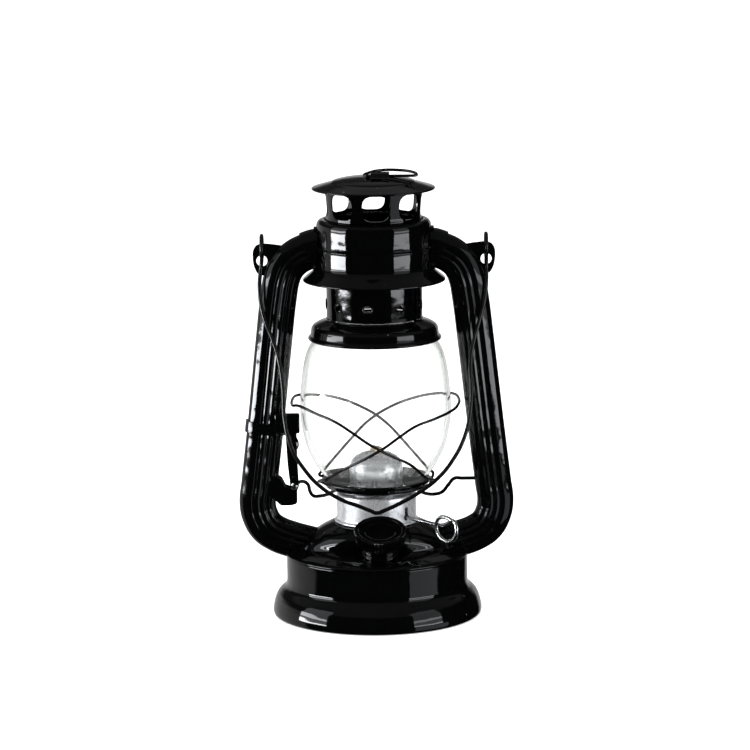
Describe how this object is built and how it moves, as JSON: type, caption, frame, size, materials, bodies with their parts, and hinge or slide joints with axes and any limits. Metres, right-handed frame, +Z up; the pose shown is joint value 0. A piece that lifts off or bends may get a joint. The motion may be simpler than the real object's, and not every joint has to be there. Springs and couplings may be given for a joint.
{
  "type": "oil lamp",
  "caption": "Tubular hurricane oil lamp with a glass globe, wire guard, sprung chimney, globe lift, flat wick burner and swinging wire bail handle.",
  "frame": {"origin": "centre of the foot on the surface that the lamp stands on", "axes": "+Z up, +X to the viewer's right in the plane of the side tubes, -Y towards the fuel cap and the hanging bail"},
  "size_m": [0.149, 0.1142, 0.2433],
  "materials": {
    "black_enamel": "high gloss black enamel",
    "black_wire": "gloss black enamelled steel wire",
    "zinc_plate": "galvanised sheet, satin",
    "bright_steel": "bright plated wire",
    "clear_glass": "clear polished",
    "cotton_wick": "woven cotton",
    "black_rubber": "matte"
  },
  "bodies": {
    "frame": {"tank_body": "black_enamel", "tank_bottom": "black_enamel", "tank_top": "black_enamel", "air_chamber": "black_enamel", "burner_collar": "zinc_plate", "filler_neck": "black_enamel", "left_side_tube": "black_enamel", "left_tube_ferrule": "black_enamel", "left_bail_ear": "black_enamel", "right_side_tube": "black_enamel", "right_tube_ferrule": "black_enamel", "right_bail_ear": "black_enamel", "crown_upper_shell": "black_enamel", "crown_lower_shell": "black_enamel", "chimney_spring": "bright_steel", "lift_clip": "black_enamel", "clip_spring": "black_wire", "lift_bracket": "black_enamel", "burner_drum": "zinc_plate", "burner_plate": "zinc_plate", "burner_cone": "zinc_plate", "wick_tube": "zinc_plate"},
    "globe_carrier": {"globe_plate": "black_enamel", "globe": "clear_glass", "guard_wire_left": "black_wire", "guard_wire_right": "black_wire"},
    "chimney": {"globe_bell": "black_enamel", "chimney_tube": "black_enamel", "spring_stop_ring": "zinc_plate", "hood_neck": "black_enamel", "hood_cap": "black_enamel", "hood_ring_strap": "black_enamel"},
    "hood_ring": {"hood_ring": "black_wire"},
    "lift_wire": {"lift_wire": "black_wire"},
    "lift_strip": {"lift_strip": "black_enamel"},
    "cap_gasket": {"cap_gasket": "black_rubber"},
    "fuel_cap": {"fuel_cap": "black_enamel"},
    "wick_spindle": {"wick_spindle": "bright_steel", "wick_wheels": "bright_steel"},
    "wick": {"wick": "cotton_wick"},
    "bail": {"bail": "black_wire"}
  },
  "joints": [
    {"name": "bail_swing", "type": "hinge", "parent": "frame", "child": "bail", "pos_m": [0, 0, 0.2015], "axis": [-1, 0, 0], "range_deg": [0, 332]},
    {"name": "globe_lift", "type": "slide", "parent": "frame", "child": "globe_carrier", "axis": [0, 0, 1], "range_m": [0, 0.008], "deforming": ["chimney_spring"]},
    {"name": "chimney_raise", "type": "slide", "parent": "globe_carrier", "child": "chimney", "axis": [0, 0, 1], "range_m": [0, 0.009], "stiffness_N_per_m": 300, "springref_m": -0.012, "deforming": ["chimney_spring"]},
    {"name": "hood_ring_fold", "type": "hinge", "parent": "chimney", "child": "hood_ring", "pos_m": [0.0086, -0.008, 0.241], "axis": [1, 0, 0], "range_deg": [0, 150]},
    {"name": "lift_wire_rock", "type": "hinge", "parent": "frame", "child": "lift_wire", "pos_m": [0.054, 0, 0.0736], "axis": [0, 1, 0], "range_deg": [0, 8]},
    {"name": "lift_strip_pull", "type": "slide", "parent": "frame", "child": "lift_strip", "axis": [0.0454, 0, 0.999], "range_m": [0, 0.01374]},
    {"name": "cap_rise", "type": "slide", "parent": "frame", "child": "cap_gasket", "axis": [0, -0.342, 0.9397], "range_m": [0, 0.00375]},
    {"name": "cap_turn", "type": "hinge", "parent": "cap_gasket", "child": "fuel_cap", "pos_m": [0.0018, -0.0324, 0.0373], "axis": [0, -0.342, 0.9397], "range_deg": [0, 540]},
    {"name": "wick_turn", "type": "hinge", "parent": "frame", "child": "wick_spindle", "pos_m": [0.00255, 0.0021, 0.0553], "axis": [-0.6361, 0.7716, 0], "range_deg": [-180.1, 90.1]},
    {"name": "wick_raise", "type": "slide", "parent": "frame", "child": "wick", "axis": [0, 0, 1], "range_m": [-0.00692, 0.00346]}
  ],
  "couplings": [
    {"joint": "lift_wire_rock", "follows": "globe_lift", "rad_per_m": 17.452},
    {"joint": "lift_strip_pull", "follows": "globe_lift", "ratio": 1.7169},
    {"joint": "cap_rise", "follows": "cap_turn", "m_per_rad": 0.00039785},
    {"joint": "wick_turn", "follows": "wick_raise", "rad_per_m": 454}
  ]
}
